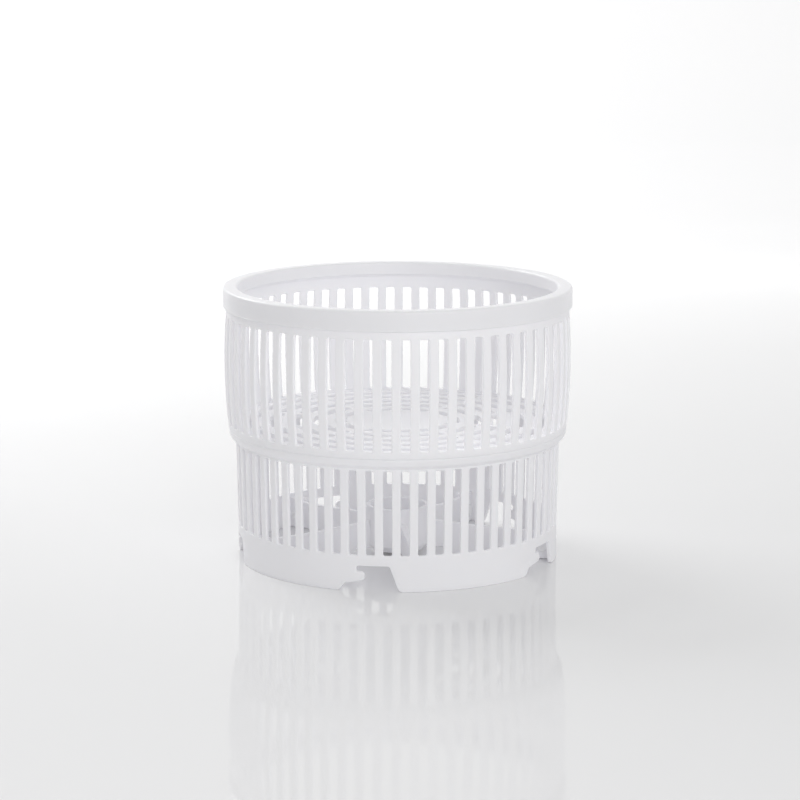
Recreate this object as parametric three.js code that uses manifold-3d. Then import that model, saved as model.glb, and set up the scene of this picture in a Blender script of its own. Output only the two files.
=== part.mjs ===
// Spin basket of a salad spinner: a slotted barrel on a slotted pedestal, with a pivot cup on its axis.
// Millimetres, +Z up. The origin is on the axis, on the surface that the basket stands on.
// Angles are in degrees about +Z, measured from the front (-Y) towards the right (+X).
import * as THREE from 'three';
import { mergeVertices } from 'three/addons/utils/BufferGeometryUtils.js';
import Module from 'manifold-3d';

const wasm = await Module();
wasm.setup();

// ---------- driving dimensions ----------
const clearance = 0.3; // gap between pieces that touch or nest
const over = 1; // how far a cutting tool runs past the face that it cuts
const wall = 2.4; // wall of both cages

const overallHeight = 173;
const rimRadius = 110;

const footRadius = 101.4; // outside of the foot band
const footBandHeight = 22.4;
const pedestalDraft = 1; // how much wider the pedestal is under its shoulder
const shoulderBottom = 75.8;
const shoulderLip = 2.5; // height of the shoulder's flared underside
const shoulderLipReach = 3.2; // how far that underside stands out
const shoulderTop = 83;
const shoulderReach = 4.4; // how far the shoulder's top edge stands out
const spigotHeight = 4.2; // spigot on the shoulder that the barrel drops over

const barrelBulge = 2; // how far the barrel stands out of a straight cone half way up
const rimFit = 0.5; // radial gap between the barrel's top and the rim's outer skirt
const barrelRows = 3; // straight steps that make the barrel's curve

const turnedFacets = 30; // facets of the small turned pieces

const slotCount = 60;
const slotPhase = 2.6; // angle of the first slot
const upperSlotWidth = 5.8;
const stripUnderSlots = 4.4; // plain strip between the shoulder and the barrel's slots
const stripOverSlots = 5; // plain strip between the barrel's slots and the rim
const lowerSlotWidth = 5.4;
const stripUnderShoulder = 1;

const rimSkirtHeight = 12.6; // outside of the rim
const rimInnerSkirtHeight = 8.2;
const rimWidth = 9.3; // from the outer face to the inner face
const rimSkirt = 2; // thickness of both skirts
const rimPlate = 2.5; // thickness of the flat top
const rimFillet = 1.2;

const floorThickness = 3.2;
const floorLedge = 2.9; // how far the floor sits on the pedestal
const floorLedgeHeight = 2.5;
const floorHubRadius = 32.5;
const floorRingCount = 5;
const floorRingPitch = 14;
const floorRingSlot = 7; // radial width of a ring slot
const floorRibCount = 10;
const floorRibWidth = 4;

const notchCount = 5;
const notchPhase = -8.5; // angle of the front notch
const notchHeight = 16;
const notchHalfWidth = 9.5; // half of the notch's flat top
const notchRampRun = 6.7; // how far the ramped side leans out
const notchCorner = 2.4; // rounding where the ramp meets the foot
const notchChamfer = 1; // small cut corners at the notch's top
const pocketDepth = 0.8; // how far the pocket over the hook goes past the notch's side
const hookReach = 4.4; // how far the hook stands into the notch
const hookThickness = 5.2;
const hookTop = 12.4;
const hookHeel = 7.5; // length of the hook's shallow underside
const hookHeelDrop = 2.4; // fall of that underside
const leadInRun = 4.5; // length of the steeper slope down to the foot

const armCount = 5;
const armPhase = 8; // angle of the first arm
const armThickness = 3;
const armBottom = 0.8;
const armRootBottom = 5; // underside beside the cup, higher than at the foot
const armRootReach = 30; // how far out that higher underside runs
const armTopAtCup = 23;
const armTopAtFoot = 18;
const lugThickness = 2.2;
const lugReach = 11; // how far the lugs stand in from the foot band
const lugTop = 20;
const pinRadius = 1.6;
const pinHeadRadius = 4;
const pinTailRadius = 2.6;
const pinHeadHeight = 1.2;
const pinHeight = 8.8;
const pinFromFoot = 5.5; // from the foot band's inner face to the pin

const cupRadius = 20;
const cupWall = 2.5;
const cupBottom = 3;
const cupTop = 32;
const cupChamfer = 4;
const cupMouthRadius = 14.5; // opening in the cup's bottom, round the bush's flange
const seatBottom = 9.5;
const seatThickness = 4;
const runningFit = 0.1; // radial clearance of the bush in its seat
const bushRadius = 7.6;
const bushBore = 8.6; // diameter
const bushHeight = 13;
const flangeRadius = 12;
const flangeThickness = 2.2;
const washerThickness = 1.2;
const washerRadius = 11;
const circlipThickness = 1.2;
const circlipRadius = 10;
const circlipGap = 60; // opening of the circlip, degrees
const grooveDepth = 0.8;

// ---------- sizes that follow ----------
const slotPitch = 360 / slotCount;
const upperSlotBottom = shoulderTop + stripUnderSlots;
const upperSlotTop = overallHeight - rimSkirtHeight - stripOverSlots;
const lowerSlotTop = shoulderBottom - stripUnderShoulder;
const footInnerRadius = footRadius - wall;
const pedestalTopRadius = footRadius + pedestalDraft;
const shoulderLipRadius = pedestalTopRadius + shoulderLipReach;
const shoulderRadius = pedestalTopRadius + shoulderReach;
const barrelBottomRadius = shoulderRadius;
const barrelTopRadius = rimRadius - rimSkirt - rimFit;
const spigotRadius = barrelBottomRadius - wall - clearance;
const spigotTop = shoulderTop - clearance + spigotHeight;
const barrelTop = overallHeight - rimPlate - clearance;
const beadInnerRadius = rimRadius - rimWidth + rimSkirt + clearance;
const beadBottom = overallHeight - rimSkirtHeight + rimPlate;
const floorRadius = spigotRadius - wall - clearance;
const floorBottom = shoulderTop;
const pinRadialPlace = footInnerRadius - pinFromFoot;
const lugFace = armThickness / 2 + clearance + lugThickness; // outer face of a lug, from the arm's middle

// ---------- helpers ----------
const radians = THREE.MathUtils.degToRad;

// A closed geometry as a solid: shared corners merged, collapsed triangles at the axis left out.
function toSolid(geometry) {
  const bare = geometry.clone();
  bare.deleteAttribute('normal');
  bare.deleteAttribute('uv');
  const merged = mergeVertices(bare, 1e-4);
  const corners = merged.index.array;
  const kept = [];
  for (let i = 0; i < corners.length; i += 3) {
    const [a, b, c] = [corners[i], corners[i + 1], corners[i + 2]];
    if (a !== b && b !== c && c !== a) kept.push(a, b, c);
  }
  return new wasm.Manifold(new wasm.Mesh({
    numProp: 3,
    vertProperties: new Float32Array(merged.attributes.position.array),
    triVerts: new Uint32Array(kept),
  }));
}

function toMesh(name, solid, material) {
  const surface = solid.getMesh();
  const geometry = new THREE.BufferGeometry();
  geometry.setAttribute('position', new THREE.BufferAttribute(new Float32Array(surface.vertProperties), 3));
  geometry.setIndex([...surface.triVerts]);
  geometry.computeVertexNormals();
  const mesh = new THREE.Mesh(geometry, material);
  mesh.name = name;
  return mesh;
}

// A solid of revolution from [radius, height] corners that run up the outside and down the inside.
function turned(corners, segments, startAngle = 0) {
  const profile = corners.map(([radius, height]) => new THREE.Vector2(radius, height));
  const geometry = new THREE.LatheGeometry(profile, segments, radians(startAngle));
  return toSolid(geometry.rotateX(Math.PI / 2));
}

// A ring of revolution: the corners close on the first one.
function turnedRing(corners, segments, startAngle = 0) {
  return turned([...corners, corners[0]], segments, startAngle);
}

// Turns a solid made at the front (-Y) to an angle about the axis.
function atAngle(geometry, angle) {
  return geometry.rotateZ(radians(angle));
}

// A box whose radial span, tangential width and height span are given, at an angle.
function radialBox(innerRadius, outerRadius, width, bottom, top, angle, offset = 0) {
  const box = new THREE.BoxGeometry(width, outerRadius - innerRadius, top - bottom);
  box.translate(offset, -(innerRadius + outerRadius) / 2, (bottom + top) / 2);
  return toSolid(atAngle(box, angle));
}

// A cylinder that lies along the tangent at an angle, spanning a tangential stretch.
function tangentCylinder(radius, from, to, radialPlace, height, angle, segments = 10) {
  const cylinder = new THREE.CylinderGeometry(radius, radius, to - from, segments);
  cylinder.rotateZ(Math.PI / 2);
  cylinder.translate((from + to) / 2, -radialPlace, height);
  return toSolid(atAngle(cylinder, angle));
}

function joined(solids) {
  return wasm.Manifold.union(solids);
}

function angles(count, phase) {
  return Array.from({ length: count }, (_, k) => phase + (360 / count) * k);
}

// ---------- materials ----------
function plastic(colour, roughness) {
  return new THREE.MeshStandardMaterial({ color: colour, roughness, metalness: 0 });
}

const cageWhite = plastic('#f1f3f4', 0.42);
const rimWhite = plastic('#f4f5f6', 0.36);
const bushNatural = plastic('#e9e6dc', 0.5);
const circlipSteel = new THREE.MeshStandardMaterial({ color: '#b9bdc2', roughness: 0.3, metalness: 1 });

// ---------- barrel ----------
function barrelRadius(height) {
  const t = (height - shoulderTop) / (beadBottom - shoulderTop);
  const straight = barrelBottomRadius + (barrelTopRadius - barrelBottomRadius) * t;
  return straight + barrelBulge * 4 * t * (1 - t);
}

function barrelHeights() {
  const step = (beadBottom - shoulderTop) / barrelRows;
  return Array.from({ length: barrelRows + 1 }, (_, k) => shoulderTop + step * k);
}

function slotCutters(innerRadius, outerRadius, width, bottom, top) {
  const places = angles(slotCount, slotPhase);
  return joined(places.map((angle) => radialBox(innerRadius, outerRadius, width, bottom, top, angle)));
}

function upperCage() {
  const outside = barrelHeights().map((height) => [barrelRadius(height), height]);
  const inside = barrelHeights().map((height) => [barrelRadius(height) - wall, height]).reverse();
  const wallRing = turnedRing(
    [
      ...outside,
      [barrelTopRadius, barrelTop],
      [beadInnerRadius, barrelTop],
      [beadInnerRadius, beadBottom + wall],
      ...inside,
    ],
    slotCount,
    slotPhase + slotPitch / 2,
  );
  const reach = barrelBulge + wall + over;
  const slots = slotCutters(
    barrelBottomRadius - wall - reach,
    barrelTopRadius + reach,
    upperSlotWidth,
    upperSlotBottom,
    upperSlotTop,
  );
  return toMesh('upper_cage', wallRing.subtract(slots), cageWhite);
}

// ---------- rim ----------
function rimRing() {
  const outer = rimRadius;
  const inner = rimRadius - rimWidth;
  const top = overallHeight;
  return toMesh(
    'rim_ring',
    turnedRing(
      [
        [outer, top - rimSkirtHeight],
        [outer, top - rimFillet],
        [outer - rimFillet, top],
        [inner + rimFillet, top],
        [inner, top - rimFillet],
        [inner, top - rimInnerSkirtHeight],
        [inner + rimSkirt, top - rimInnerSkirtHeight],
        [inner + rimSkirt, top - rimPlate],
        [outer - rimSkirt, top - rimPlate],
        [outer - rimSkirt, top - rimSkirtHeight],
      ],
      slotCount,
      slotPhase,
    ),
    rimWhite,
  );
}

// ---------- floor ----------
// One ring slot between two ribs: arcs for its long sides, ends parallel to the rib's middle.
function ringSlot(middleRadius, angle) {
  const innerArc = middleRadius - floorRingSlot / 2;
  const outerArc = middleRadius + floorRingSlot / 2;
  const half = Math.PI / floorRibCount;
  const innerHalf = half - Math.asin(floorRibWidth / 2 / innerArc);
  const outerHalf = half - Math.asin(floorRibWidth / 2 / outerArc);
  const outline = new THREE.Shape();
  outline.absarc(0, 0, outerArc, -outerHalf, outerHalf, false);
  outline.absarc(0, 0, innerArc, innerHalf, -innerHalf, true);
  outline.closePath();
  const geometry = new THREE.ExtrudeGeometry(outline, {
    depth: floorThickness + 2 * over,
    bevelEnabled: false,
    curveSegments: 2,
  });
  return toSolid(atAngle(geometry.translate(0, 0, floorBottom - over), angle));
}

function floorGrating() {
  const disc = new THREE.CylinderGeometry(floorRadius, floorRadius, floorThickness, slotCount);
  disc.rotateX(Math.PI / 2);
  disc.translate(0, 0, floorBottom + floorThickness / 2);
  const slots = [];
  for (let ring = 0; ring < floorRingCount; ring += 1) {
    const middleRadius = floorHubRadius + floorRingSlot / 2 + floorRingPitch * ring;
    angles(floorRibCount, 0).forEach((angle) => slots.push(ringSlot(middleRadius, angle)));
  }
  return toMesh('floor_grating', toSolid(disc).subtract(joined(slots)), cageWhite);
}

// ---------- pedestal ----------
// The hooked notch as an outline in the band's own plane: x along the band, y up.
function notchShape() {
  const hookRadius = hookThickness / 2;
  const hookCentre = -notchHalfWidth + hookReach - hookRadius;
  const pocket = -notchHalfWidth - pocketDepth;
  const heel = pocket - hookHeel;
  const ramp = notchHalfWidth + notchRampRun;
  const shape = new THREE.Shape();
  shape.moveTo(ramp + notchCorner, -over);
  shape.quadraticCurveTo(ramp, 0, ramp - notchCorner / 2, notchCorner);
  shape.lineTo(notchHalfWidth + notchChamfer, notchHeight - notchChamfer);
  shape.lineTo(notchHalfWidth, notchHeight);
  shape.lineTo(pocket + notchChamfer, notchHeight);
  shape.lineTo(pocket, notchHeight - notchChamfer);
  shape.lineTo(pocket, hookTop);
  shape.lineTo(hookCentre, hookTop);
  shape.absarc(hookCentre, hookTop - hookRadius, hookRadius, Math.PI / 2, -Math.PI / 2, true);
  shape.lineTo(heel, hookTop - hookThickness - hookHeelDrop);
  shape.lineTo(heel - leadInRun, -over);
  shape.closePath();
  return shape;
}

// The cutter is flat, so it reaches deep enough for the band's curve across the whole notch.
function notchCutter(angle) {
  const halfSpan = notchHalfWidth + notchRampRun + pocketDepth + hookHeel;
  const sagitta = footRadius - Math.sqrt(footRadius ** 2 - halfSpan ** 2);
  const depth = wall + sagitta + 3 * over;
  const geometry = new THREE.ExtrudeGeometry(notchShape(), { depth, bevelEnabled: false, curveSegments: 6 });
  geometry.rotateX(Math.PI / 2);
  geometry.translate(0, -footRadius + depth - over, 0);
  return toSolid(atAngle(geometry, angle));
}

// Two plates that stand in from the foot band, one on each side of an arm's end.
function lugs(angle) {
  const place = lugFace - lugThickness / 2;
  const [inner, outer] = [footInnerRadius - lugReach, footInnerRadius + wall / 2];
  return [-place, place].map((offset) =>
    radialBox(inner, outer, lugThickness, armBottom, lugTop, angle, offset));
}

function pinHoles() {
  const reach = lugFace + over;
  return angles(armCount, armPhase).map((angle) =>
    tangentCylinder(pinRadius + clearance, -reach, reach, pinRadialPlace, pinHeight, angle));
}

function lowerCage() {
  const ledgeTop = shoulderTop - clearance;
  const ledgeBottom = ledgeTop - floorLedgeHeight;
  const ledgeRadius = floorRadius - floorLedge;
  const shell = turnedRing(
    [
      [footRadius, 0],
      [footRadius, footBandHeight],
      [pedestalTopRadius, shoulderBottom],
      [shoulderLipRadius, shoulderBottom + shoulderLip],
      [shoulderRadius, ledgeTop],
      [spigotRadius, ledgeTop],
      [spigotRadius, spigotTop],
      [spigotRadius - wall, spigotTop],
      [spigotRadius - wall, ledgeTop],
      [ledgeRadius, ledgeTop],
      [ledgeRadius, ledgeBottom],
      [pedestalTopRadius - wall, ledgeBottom - over],
      [footInnerRadius, footBandHeight],
      [footInnerRadius, 0],
    ],
    slotCount,
    slotPhase + slotPitch / 2,
  );
  const slots = slotCutters(
    footInnerRadius - over,
    pedestalTopRadius + over,
    lowerSlotWidth,
    footBandHeight,
    lowerSlotTop,
  );
  const lugPairs = angles(armCount, armPhase).flatMap(lugs);
  const notches = angles(notchCount, notchPhase).map(notchCutter);
  const solid = joined([shell.subtract(slots), ...lugPairs]).subtract(joined([...pinHoles(), ...notches]));
  return toMesh('lower_cage', solid, cageWhite);
}

// ---------- spider ----------
function armShape() {
  const tip = footInnerRadius - clearance * 2;
  const shape = new THREE.Shape();
  shape.moveTo(cupRadius - cupWall / 2, armRootBottom);
  shape.lineTo(armRootReach, armRootBottom);
  shape.lineTo(armRootReach + armRootBottom, armBottom);
  shape.lineTo(tip, armBottom);
  shape.lineTo(tip, armTopAtFoot);
  shape.quadraticCurveTo((cupRadius + tip) / 2, armTopAtFoot, cupRadius - cupWall / 2, armTopAtCup);
  shape.closePath();
  return shape;
}

function arm(angle) {
  const geometry = new THREE.ExtrudeGeometry(armShape(), {
    depth: armThickness,
    bevelEnabled: false,
    curveSegments: 5,
  });
  geometry.translate(0, 0, -armThickness / 2);
  geometry.rotateX(Math.PI / 2);
  geometry.rotateZ(-Math.PI / 2);
  return toSolid(atAngle(geometry, angle));
}

function pivotSpider() {
  const bore = bushRadius + runningFit;
  const inside = cupRadius - cupWall;
  const cup = turnedRing(
    [
      [cupRadius - cupChamfer, cupBottom],
      [cupRadius, cupBottom + cupChamfer],
      [cupRadius, cupTop],
      [inside, cupTop],
      [inside, seatBottom + seatThickness],
      [bore, seatBottom + seatThickness],
      [bore, seatBottom],
      [cupMouthRadius, seatBottom],
      [cupMouthRadius, cupBottom],
    ],
    turnedFacets,
  );
  const solid = joined([cup, ...angles(armCount, armPhase).map(arm)]);
  return toMesh('pivot_spider', solid.subtract(joined(pinHoles())), cageWhite);
}

// A shouldered pin: a round head, the shank through both lugs, and a smaller formed tail.
function armPin(angle, index) {
  const headFrom = -lugFace - clearance - pinHeadHeight;
  const tailTo = lugFace + clearance + pinHeadHeight;
  const place = [pinRadialPlace, pinHeight, angle];
  const shank = tangentCylinder(pinRadius, headFrom, tailTo, ...place);
  const head = tangentCylinder(pinHeadRadius, headFrom, headFrom + pinHeadHeight, ...place);
  const tail = tangentCylinder(pinTailRadius, tailTo - pinHeadHeight, tailTo, ...place);
  return toMesh(`arm_pin_${index + 1}`, joined([shank, head, tail]), rimWhite);
}

// ---------- pivot ----------
const flangeTop = seatBottom - washerThickness - 2 * clearance;
const bushBottom = flangeTop - flangeThickness;
const grooveBottom = seatBottom + seatThickness + clearance;

function pivotBush() {
  const groove = bushRadius - grooveDepth;
  const grooveTop = grooveBottom + circlipThickness + clearance;
  return toMesh(
    'pivot_bush',
    turnedRing(
      [
        [flangeRadius, bushBottom],
        [flangeRadius, flangeTop],
        [bushRadius, flangeTop],
        [bushRadius, grooveBottom],
        [groove, grooveBottom],
        [groove, grooveTop],
        [bushRadius, grooveTop],
        [bushRadius, bushBottom + bushHeight],
        [bushBore / 2, bushBottom + bushHeight],
        [bushBore / 2, bushBottom],
      ],
      turnedFacets,
    ),
    bushNatural,
  );
}

function thrustWasher() {
  const bottom = flangeTop + clearance;
  const bore = bushRadius + clearance;
  return toMesh(
    'thrust_washer',
    turnedRing(
      [
        [washerRadius, bottom],
        [washerRadius, bottom + washerThickness],
        [bore, bottom + washerThickness],
        [bore, bottom],
      ],
      turnedFacets,
    ),
    bushNatural,
  );
}

function bushCirclip() {
  const inner = bushRadius - grooveDepth + clearance / 2;
  const half = radians(circlipGap / 2);
  const outline = new THREE.Shape();
  outline.absarc(0, 0, circlipRadius, half, Math.PI * 2 - half, false);
  outline.absarc(0, 0, inner, Math.PI * 2 - half, half, true);
  outline.closePath();
  const geometry = new THREE.ExtrudeGeometry(outline, {
    depth: circlipThickness,
    bevelEnabled: false,
    curveSegments: 10,
  });
  geometry.translate(0, 0, grooveBottom + clearance / 2);
  return toMesh('bush_circlip', toSolid(geometry), circlipSteel);
}

// ---------- assembly ----------
const basket = new THREE.Group();
basket.add(rimRing(), upperCage(), floorGrating(), lowerCage(), pivotSpider());
basket.add(...angles(armCount, armPhase).map(armPin));
basket.add(pivotBush(), thrustWasher(), bushCirclip());

export default basket;
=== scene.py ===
# %% [markdown]
# # The spin basket of a salad spinner
#
# The basket is white moulded plastic: a slotted barrel stands on a slotted pedestal, a rim caps
# the barrel, a slotted floor lies between the two, and a pivot cup on five arms sits low inside.
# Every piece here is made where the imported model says, and rides on the body that carries it.

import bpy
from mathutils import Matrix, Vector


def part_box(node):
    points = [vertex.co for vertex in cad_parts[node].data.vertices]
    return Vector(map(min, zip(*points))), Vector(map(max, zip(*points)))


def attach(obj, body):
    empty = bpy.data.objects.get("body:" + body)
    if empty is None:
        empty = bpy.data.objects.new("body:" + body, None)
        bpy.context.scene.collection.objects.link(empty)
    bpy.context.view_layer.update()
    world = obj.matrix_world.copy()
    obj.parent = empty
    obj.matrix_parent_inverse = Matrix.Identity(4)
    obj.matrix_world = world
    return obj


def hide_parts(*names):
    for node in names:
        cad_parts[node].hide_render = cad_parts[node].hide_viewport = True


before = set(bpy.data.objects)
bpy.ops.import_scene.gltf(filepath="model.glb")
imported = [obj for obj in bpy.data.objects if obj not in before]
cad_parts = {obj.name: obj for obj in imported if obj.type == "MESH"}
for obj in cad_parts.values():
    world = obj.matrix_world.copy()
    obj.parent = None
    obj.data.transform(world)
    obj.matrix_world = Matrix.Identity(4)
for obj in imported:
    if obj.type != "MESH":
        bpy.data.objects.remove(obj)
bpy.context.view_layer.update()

# %% Modules
import math

import bmesh
import bpy
import numpy as np
from mathutils import Vector
from mathutils.geometry import delaunay_2d_cdt

MM = 0.001  # the pieces are drawn in millimetres, and Blender works in metres

# %% [markdown]
# ## Corners and faces
#
# The basket is hundreds of equal slots in curved walls, with every edge a little rounded, as
# moulded plastic is. A boolean cut with a bevel would leave slivers at each slot. Instead each
# piece is woven from rows and columns of corners, so the faces follow the slots and the
# highlights run clean. A Shell gathers them in millimetres, and welds what meets.

# %% A shell of corners and faces
WELD = 0.004  # mm: corners that are nearer than this are one corner


class Shell:
    def __init__(self):
        self.blocks = []
        self.count = 0
        self.faces = []

    def add(self, points):
        """Adds an arrangement of points, and returns their numbers in the same arrangement."""
        points = np.asarray(points, float)
        self.blocks.append(points.reshape(-1, 3))
        first = self.count
        self.count += self.blocks[-1].shape[0]
        return np.arange(first, self.count).reshape(points.shape[:-1])

    def corners(self):
        return np.concatenate(self.blocks)

    def weave(self, numbers, hole=None):
        """Faces between neighbouring columns and rows, but for the cells of a hole."""
        for i in range(numbers.shape[0] - 1):
            for j in range(numbers.shape[1] - 1):
                if hole and hole[0] <= i < hole[1] and hole[2] <= j < hole[3]:
                    continue
                self.faces.append(
                    [numbers[i, j], numbers[i + 1, j], numbers[i + 1, j + 1], numbers[i, j + 1]])

    def strip(self, one, other, closed=True):
        """Faces between two loops of as many corners."""
        last = len(one) if closed else len(one) - 1
        for k in range(last):
            n = (k + 1) % len(one)
            self.faces.append([one[k], one[n], other[n], other[k]])

    def take(self, other, turn=0.0):
        """Adds another shell, turned about the axis by an angle in degrees."""
        first = self.count
        self.add(spun(other.corners(), turn))
        self.faces.extend([[first + n for n in face] for face in other.faces])

    def repeat(self, other, count, phase):
        for k in range(count):
            self.take(other, phase + 360 / count * k)


def spun(points, turn):
    """Points turned about the axis, by an angle in degrees from the front to the right."""
    angle = math.radians(turn)
    c, s = math.cos(angle), math.sin(angle)
    return points @ np.array([[c, s, 0], [-s, c, 0], [0, 0, 1]])


def on_wall(angle, height, radius):
    """The point at an angle in radians from the front, on a wall of that radius."""
    return np.stack([radius * np.sin(angle), -radius * np.cos(angle), height + 0 * angle], -1)


print("shell ready")

# %% [markdown]
# A shell becomes a mesh object by welding its corners and turning its faces outward. Smooth
# shading then needs one more thing: with plain smooth normals a big flat face bends towards its
# small rounded edge. The Weighted Normal modifier lets the big face win.

# %% From shell to object
def to_object(shell, name):
    corners = shell.corners() * MM
    used = np.unique(np.concatenate([np.array(face) for face in shell.faces]))
    renumber = np.full(shell.count, -1)
    renumber[used] = np.arange(len(used))
    mesh = bpy.data.meshes.new(name)
    mesh.from_pydata(corners[used].tolist(), [], [[int(renumber[n]) for n in f] for f in shell.faces])
    work = bmesh.new()
    work.from_mesh(mesh)
    bmesh.ops.remove_doubles(work, verts=work.verts, dist=WELD * MM)
    bmesh.ops.dissolve_degenerate(work, edges=work.edges, dist=WELD * MM / 4)
    bmesh.ops.recalc_face_normals(work, faces=work.faces)
    for face in work.faces:
        face.smooth = True
    open_edges = sum(1 for edge in work.edges if len(edge.link_faces) != 2)
    work.to_mesh(mesh)
    work.free()
    piece = bpy.data.objects.new(name, mesh)
    bpy.context.scene.collection.objects.link(piece)
    weighted = piece.modifiers.new("even_normals", "WEIGHTED_NORMAL")
    weighted.mode = "FACE_AREA"
    weighted.weight = 60
    print(f"{name}: {len(mesh.vertices)} corners, {len(mesh.polygons)} faces, {open_edges} open edges")
    return piece


# %% [markdown]
# ## Rounded lines
#
# Moulded edges are never sharp: steel tools have small radii and so do their castings. Profiles
# and outlines are given by their corners and a radius at each, and this turns them into lines
# with true arcs. The same helper serves the rim's section and the notches of the foot.

# %% Rounding the corners of a line
def rounded(corners, radii, steps=4, closed=False):
    """A line through 2D corners with an arc of the given radius at each one."""
    corners = [np.array(c, float) for c in corners]
    if not hasattr(radii, "__len__"):
        radii = [radii] * len(corners)
    line = []
    for k, corner in enumerate(corners):
        ends = (corners[k - 1], corners[(k + 1) % len(corners)])
        at_end = not closed and k in (0, len(corners) - 1)
        if at_end or radii[k] <= 0:
            line.append(corner)
            continue
        to_one, to_other = (e - corner for e in ends)
        room = 0.499 * min(np.linalg.norm(to_one), np.linalg.norm(to_other))
        to_one = to_one / np.linalg.norm(to_one)
        to_other = to_other / np.linalg.norm(to_other)
        half = math.acos(max(-1, min(1, float(to_one @ to_other)))) / 2
        if half > math.radians(89.5):
            line.append(corner)
            continue
        radius = min(radii[k], room * math.tan(half))
        middle = (to_one + to_other) / np.linalg.norm(to_one + to_other)
        centre = corner + middle * radius / math.sin(half)
        start = corner + to_one * radius / math.tan(half) - centre
        stop = corner + to_other * radius / math.tan(half) - centre
        sweep = math.pi - 2 * half
        for s in range(steps + 1):
            t = s / steps
            mix = (start * math.sin((1 - t) * sweep) + stop * math.sin(t * sweep)) / math.sin(sweep)
            line.append(centre + mix)
    return np.array(line)


def filled(line, longest, closed=False):
    """The same line with more points, so that no stretch is longer than this."""
    out = []
    last = len(line) if closed else len(line) - 1
    for k in range(last):
        one, other = line[k], line[(k + 1) % len(line)]
        pieces = max(1, math.ceil(np.linalg.norm(other - one) / longest))
        out.extend(one + (other - one) * s / pieces for s in range(pieces))
    if not closed:
        out.append(line[-1])
    return np.array(out)


def offset(line, distance, closed=False):
    """The line moved to its left by a distance."""
    ahead = np.roll(line, -1, 0) - line
    if not closed:
        ahead[-1] = ahead[-2]
    ahead /= np.linalg.norm(ahead, axis=1)[:, None]
    behind = np.roll(ahead, 1, 0)
    if not closed:
        behind[0] = ahead[0]
    sideways = np.stack([-(ahead + behind)[:, 1], (ahead + behind)[:, 0]], 1)
    share = (sideways ** 2).sum(1)[:, None] / 2
    return line + sideways / share * distance


def quarter(edge, steps):
    """(growth, depth) pairs that roll a surface over an edge of that radius."""
    angles = np.linspace(0, math.pi / 2, steps + 1)
    return [(edge * (1 - math.sin(a)), edge * (1 - math.cos(a))) for a in angles]


print("quarter of a 0.5 mm edge:", [tuple(round(v, 2) for v in p) for p in quarter(0.5, 2)])

# %% [markdown]
# ## A panel with a slot
#
# One slot and the half slats on both sides of it are drawn once and repeated. The panel is a grid
# whose middle block is left out: the corners round that block are moved onto the slot's outline.
# A tunnel of loops then runs from the outer skin, over a rounded edge, through the wall, and
# over a second rounded edge into the inner skin.

# %% The outline of a slot
ARC_STEPS = 4
FLAT_STEPS = 2
ACROSS = 2 * ARC_STEPS + FLAT_STEPS
EDGE_STEPS = 3


def slot_end(half_width, corner):
    """From one side of a slot to the other, round its end: (across, beyond) pairs."""
    arc = np.linspace(0, math.pi / 2, ARC_STEPS + 1)
    left = [(-half_width + corner * (1 - math.cos(a)), corner * math.sin(a)) for a in arc]
    flat_half = half_width - corner
    flat = [(flat_half * (2 * s / FLAT_STEPS - 1), corner) for s in range(1, FLAT_STEPS)]
    right = [(-a, b) for a, b in reversed(left)]
    return np.array(left + flat + right)


def slot_outline(half_width, half_length, corner, along, grow):
    """The slot's outline grown by a distance: a closed loop that starts at the lower left."""
    end = slot_end(half_width + grow, corner + grow)
    straight = half_length - corner
    side = np.linspace(-straight, straight, along + 1)
    wide = half_width + grow
    low = [(a, -straight - b) for a, b in end]
    right = [(wide, b) for b in side[1:]]
    high = [(a, straight + b) for a, b in end[::-1]][1:]
    left = [(-wide, b) for b in side[::-1]][1:-1]
    return np.array(low + right + high + left)


def block_border(i0, j0, along):
    """The grid places round the left-out block, in the same order as the outline."""
    i1, j1 = i0 + ACROSS, j0 + along
    low = [(i, j0) for i in range(i0, i1 + 1)]
    right = [(i1, j) for j in range(j0 + 1, j1 + 1)]
    high = [(i, j1) for i in range(i1 - 1, i0 - 1, -1)]
    left = [(i0, j) for j in range(j1 - 1, j0, -1)]
    return low + right + high + left


print("corners round a slot with 12 rows:", len(slot_outline(2.5, 30, 1.5, 12, 0)))

# %% One slotted sector of a round wall
SLOTS = 60
SLOT_PHASE = 2.6  # degrees: the first slot, from the front
HALF_PITCH = math.pi / SLOTS


def sector_columns(slot_width, corner, edge, radius):
    """The angles of the columns of a sector, from one slat's middle to the next."""
    across = slot_end(slot_width / 2 + edge, corner + edge)[:, 0] / radius
    return np.array([-HALF_PITCH, *across, HALF_PITCH])


def slotted_sector(shell, outer, inner, slot, below, above, along, edge, corner):
    """Both skins and the slot of one sector; outer and inner give the radius at a height."""
    width, bottom, top = slot
    middle, half_length = (bottom + top) / 2, (top - bottom) / 2
    radius = outer(middle)
    columns = sector_columns(width, corner, edge, radius)
    side = np.linspace(bottom + corner, top - corner, along + 1)
    rows = np.array([*below, *side, *above])
    angle, height = np.meshgrid(columns, rows, indexing="ij")
    i0, j0 = 1, len(below)
    border = block_border(i0, j0, along)
    grown = slot_outline(width / 2, half_length, corner, along, edge)
    for (i, j), (a, b) in zip(border, grown):
        angle[i, j], height[i, j] = a / radius, middle + b
    hole = (i0, i0 + ACROSS, j0, j0 + along)
    loops = []
    for skin, sign in ((outer, -1), (inner, 1)):
        numbers = shell.add(on_wall(angle, height, skin(height)))
        shell.weave(numbers, hole)
        side_loops = [np.array([numbers[i, j] for i, j in border])]
        for grow, depth in quarter(edge, EDGE_STEPS)[1:]:
            line = slot_outline(width / 2, half_length, corner, along, grow)
            heights = middle + line[:, 1]
            side_loops.append(shell.add(on_wall(line[:, 0] / radius, heights, skin(heights) + sign * depth)))
        loops.append(side_loops)
    path = loops[0] + loops[1][::-1]
    for one, other in zip(path, path[1:]):
        shell.strip(one, other)
    return columns


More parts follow.
